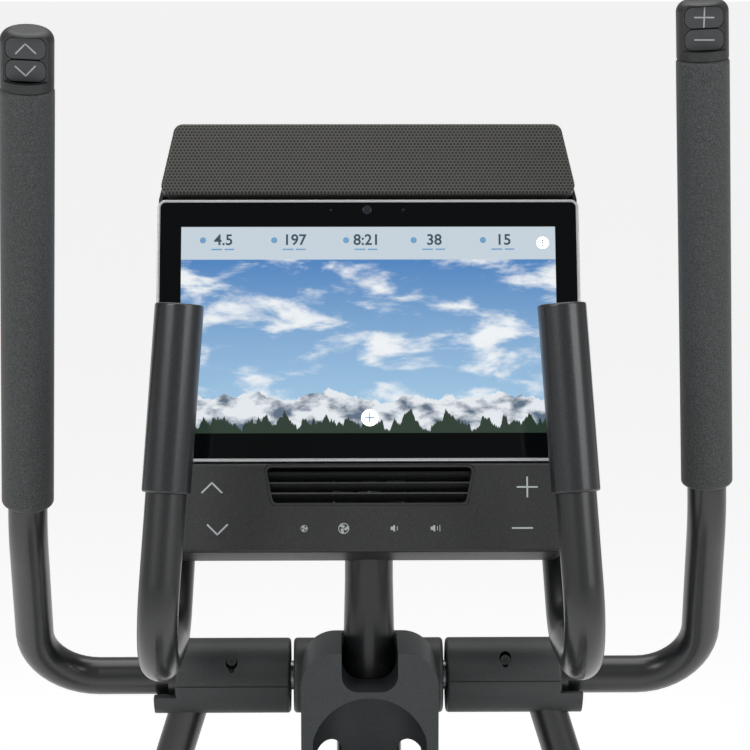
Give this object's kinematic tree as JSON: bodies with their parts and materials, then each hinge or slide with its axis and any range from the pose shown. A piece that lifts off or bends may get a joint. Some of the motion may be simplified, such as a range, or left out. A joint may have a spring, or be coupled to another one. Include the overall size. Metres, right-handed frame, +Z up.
{
  "type": "elliptical trainer",
  "caption": "Front-drive elliptical trainer with moving and fixed handles, a touch-screen console, roller ramp with powered incline, and pedals on long arms.",
  "frame": {"origin": "middle of the footprint at floor level", "axes": "+Z up, +Y forward to the console and drive, +X to the user's right"},
  "size_m": [0.664, 1.784, 1.7273],
  "materials": {
    "powder_coat": "satin black powder coat",
    "cover_plastic": "fine moulded texture",
    "holder_plastic": "fine moulded texture",
    "console_plastic": "speckled moulded texture",
    "foam": "closed-cell foam",
    "key_rubber": "matt silicone membrane",
    "sensor_metal": "satin conductive sleeve",
    "bezel_gloss": "glossy black glass",
    "display": "glossy screen picture",
    "silver_trim": "satin silver paint",
    "speaker_mesh": "perforated and painted",
    "rubber": "matt",
    "pedal_plastic": "moulded",
    "bare_steel": "turned",
    "rail_steel": "polished tube",
    "cast_iron": "turned",
    "roller_urethane": "cast polyurethane"
  },
  "bodies": {
    "frame": {"base_frame": "powder_coat", "bottle_holder": "holder_plastic", "centre_pivot_cover": "cover_plastic", "console_lower_panel": "console_plastic", "console_mast": "powder_coat", "console_rear_shell": "console_plastic", "crank_bearings": "bare_steel", "display_panel": "display", "drive_belt": "rubber", "fan_louvre": "console_plastic", "fan_motor": "bare_steel", "front_stabilizer": "powder_coat", "levelling_feet": "rubber", "lift_motor": "powder_coat", "pivot_axle": "bare_steel", "power_inlet": "cover_plastic", "pulse_bar_left": "powder_coat", "pulse_bar_right": "powder_coat", "pulse_sleeve_left": "sensor_metal", "pulse_sleeve_right": "sensor_metal", "rear_stabilizer": "powder_coat", "screen_bezel": "bezel_gloss", "shroud_left": "cover_plastic", "shroud_right": "cover_plastic", "speaker_grille": "speaker_mesh", "stabilizer_end_caps": "rubber", "tablet_housing": "silver_trim", "upright_post": "powder_coat"},
    "left_handle": {"swing_arm_left": "powder_coat", "foam_grip_left": "foam", "key_pod_left": "console_plastic", "pivot_covers_left": "cover_plastic"},
    "right_handle": {"swing_arm_right": "powder_coat", "foam_grip_right": "foam", "key_pod_right": "console_plastic", "pivot_covers_right": "cover_plastic"},
    "ramp_up_key": {"ramp_up_key": "key_rubber"},
    "ramp_down_key": {"ramp_down_key": "key_rubber"},
    "resistance_plus_key": {"resistance_plus_key": "key_rubber"},
    "resistance_minus_key": {"resistance_minus_key": "key_rubber"},
    "left_link": {"link_left": "powder_coat"},
    "right_link": {"link_right": "powder_coat"},
    "crank": {"crank_axle": "bare_steel", "drive_pulley": "pedal_plastic", "crank_disc_left": "cover_plastic", "crank_disc_right": "cover_plastic"},
    "flywheel": {"flywheel": "cast_iron"},
    "magnet_holder": {"magnet_holder": "bare_steel"},
    "ramp": {"ramp_rails": "rail_steel"},
    "lift_rod": {"lift_rod": "bare_steel"},
    "left_pedal_arm": {"pedal_arm_left": "powder_coat", "pedal_left": "pedal_plastic", "pedal_mat_left": "rubber"},
    "right_pedal_arm": {"pedal_arm_right": "powder_coat", "pedal_right": "pedal_plastic", "pedal_mat_right": "rubber"},
    "left_roller": {"roller_left": "roller_urethane"},
    "right_roller": {"roller_right": "roller_urethane"},
    "fan": {"fan_impeller": "console_plastic"},
    "transport_wheels": {"transport_wheels": "pedal_plastic"}
  },
  "joints": [
    {"name": "ramp_lift", "type": "hinge", "parent": "frame", "child": "ramp", "pos_m": [0, 0.15, 0.37], "axis": [1, 0, 0], "range_deg": [-10, 7.5]},
    {"name": "lift_rod_slide", "type": "slide", "parent": "frame", "child": "lift_rod", "axis": [0, 0, 1], "range_m": [-0.03967, 0.05256]},
    {"name": "left_stride", "type": "slide", "parent": "ramp", "child": "left_pedal_arm", "axis": [0, 0.9848, 0.1736], "range_m": [-0.2484, 0.2086]},
    {"name": "right_stride", "type": "slide", "parent": "ramp", "child": "right_pedal_arm", "axis": [0, 0.9848, 0.1736], "range_m": [-0.2086, 0.2484]},
    {"name": "left_roller_spin", "type": "hinge", "parent": "left_pedal_arm", "child": "left_roller", "pos_m": [-0.085, -0.50511, 0.30556], "axis": [1, 0, 0], "continuous": true},
    {"name": "right_roller_spin", "type": "hinge", "parent": "right_pedal_arm", "child": "right_roller", "pos_m": [0.085, -0.55727, 0.29637], "axis": [1, 0, 0], "continuous": true},
    {"name": "left_arm_swing", "type": "hinge", "parent": "frame", "child": "left_handle", "pos_m": [0, 0.19, 1.152], "axis": [1, 0, 0], "range_deg": [-20.73, 17.42]},
    {"name": "right_arm_swing", "type": "hinge", "parent": "frame", "child": "right_handle", "pos_m": [0, 0.19, 1.152], "axis": [1, 0, 0], "range_deg": [-17.42, 20.73]},
    {"name": "left_link_pivot", "type": "hinge", "parent": "left_handle", "child": "left_link", "pos_m": [-0.176, 0.23212, 0.46329], "axis": [1, 0, 0], "range_deg": [-17.42, 20.73]},
    {"name": "right_link_pivot", "type": "hinge", "parent": "right_handle", "child": "right_link", "pos_m": [0.176, 0.14788, 0.46329], "axis": [1, 0, 0], "range_deg": [-20.73, 17.42]},
    {"name": "crank_spin", "type": "hinge", "parent": "frame", "child": "crank", "pos_m": [0, 0.52, 0.33], "axis": [1, 0, 0], "continuous": true},
    {"name": "flywheel_spin", "type": "hinge", "parent": "frame", "child": "flywheel", "pos_m": [0, 0.705, 0.47], "axis": [1, 0, 0], "continuous": true},
    {"name": "magnet_holder_tilt", "type": "hinge", "parent": "frame", "child": "magnet_holder", "pos_m": [0.025, 0.85347, 0.52404], "axis": [1, 0, 0], "range_deg": [-7, 0]},
    {"name": "fan_spin", "type": "hinge", "parent": "frame", "child": "fan", "pos_m": [0, 0.12367, 1.32424], "axis": [0, -0.9397, 0.342], "continuous": true},
    {"name": "transport_wheel_spin", "type": "hinge", "parent": "frame", "child": "transport_wheels", "pos_m": [0.235, 0.864, 0.036], "axis": [1, 0, 0], "continuous": true},
    {"name": "ramp_up_key_press", "type": "slide", "parent": "left_handle", "child": "ramp_up_key", "axis": [0, 0.9616, 0.2744], "range_m": [0, 0.0007], "stiffness_N_per_m": 800},
    {"name": "ramp_down_key_press", "type": "slide", "parent": "left_handle", "child": "ramp_down_key", "axis": [0, 0.9616, 0.2744], "range_m": [0, 0.0007], "stiffness_N_per_m": 800},
    {"name": "resistance_plus_key_press", "type": "slide", "parent": "right_handle", "child": "resistance_plus_key", "axis": [0, 0.9879, 0.1552], "range_m": [0, 0.0007], "stiffness_N_per_m": 800},
    {"name": "resistance_minus_key_press", "type": "slide", "parent": "right_handle", "child": "resistance_minus_key", "axis": [0, 0.9879, 0.1552], "range_m": [0, 0.0007], "stiffness_N_per_m": 800}
  ],
  "couplings": [
    {"joint": "right_stride", "follows": "left_stride", "ratio": -1},
    {"joint": "left_roller_spin", "follows": "left_stride", "rad_per_m": -28.571},
    {"joint": "right_roller_spin", "follows": "left_stride", "rad_per_m": 28.571},
    {"joint": "left_arm_swing", "follows": "left_stride", "rad_per_m": 1.4493},
    {"joint": "right_arm_swing", "follows": "left_stride", "rad_per_m": -1.4493},
    {"joint": "left_link_pivot", "follows": "left_stride", "rad_per_m": -1.4493},
    {"joint": "right_link_pivot", "follows": "left_stride", "rad_per_m": 1.4493},
    {"joint": "flywheel_spin", "follows": "crank_spin", "ratio": 6.8},
    {"joint": "lift_rod_slide", "follows": "ramp_lift", "m_per_rad": -0.29544}
  ]
}
